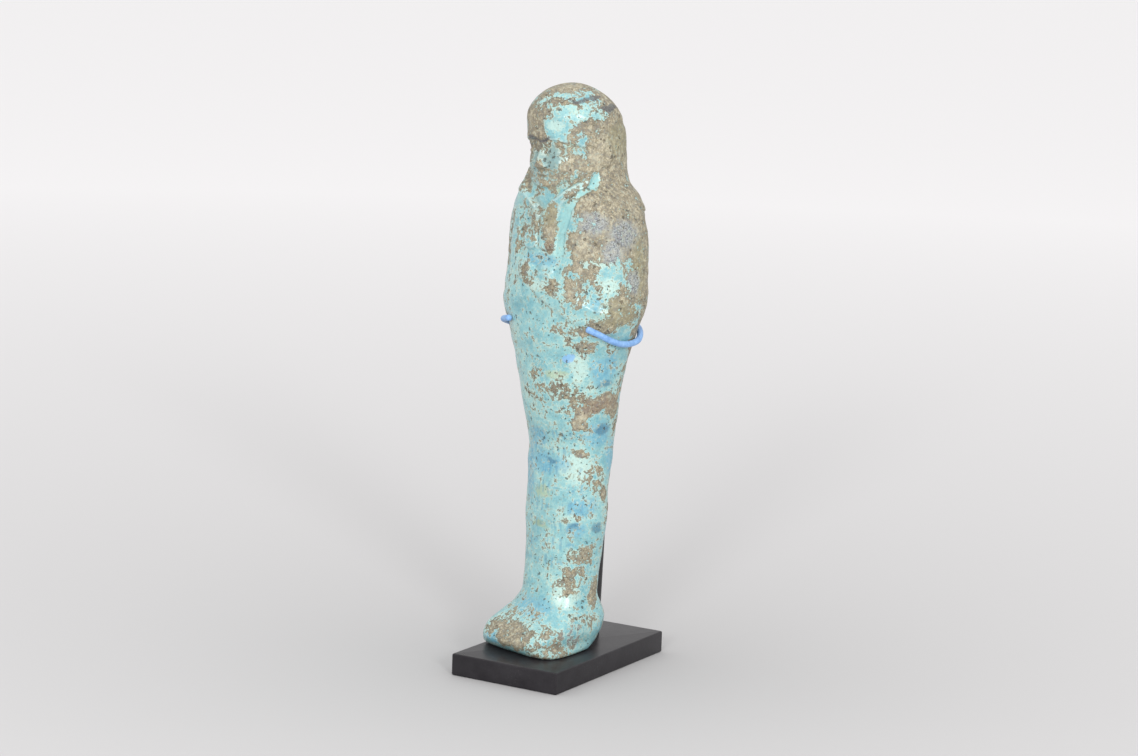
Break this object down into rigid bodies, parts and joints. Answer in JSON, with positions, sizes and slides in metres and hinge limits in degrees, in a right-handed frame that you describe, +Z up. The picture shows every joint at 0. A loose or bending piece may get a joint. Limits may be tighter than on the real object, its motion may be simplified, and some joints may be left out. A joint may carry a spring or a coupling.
{
  "type": "ushabti figurine",
  "caption": "Mummy-shaped glazed faience funerary figurine with a long wig, standing on a black rectangular plinth and held at the elbows by a wire claw on a rear rod.",
  "frame": {"origin": "centre of the plinth's underside", "axes": "+Z up, the plinth's long side along Y with the figure's feet towards -Y, the figure turned 17 degrees towards -X"},
  "size_m": [0.0438, 0.057, 0.159],
  "materials": {
    "faience": "worn turquoise glaze with brown pits and crust",
    "black_block": "polished",
    "black_steel": "satin",
    "blue_wire": "satin"
  },
  "bodies": {
    "root": {"ushabti_figure": "faience", "plinth": "black_block", "upright_rod": "black_steel", "claw_wire": "blue_wire"}
  },
  "joints": []
}
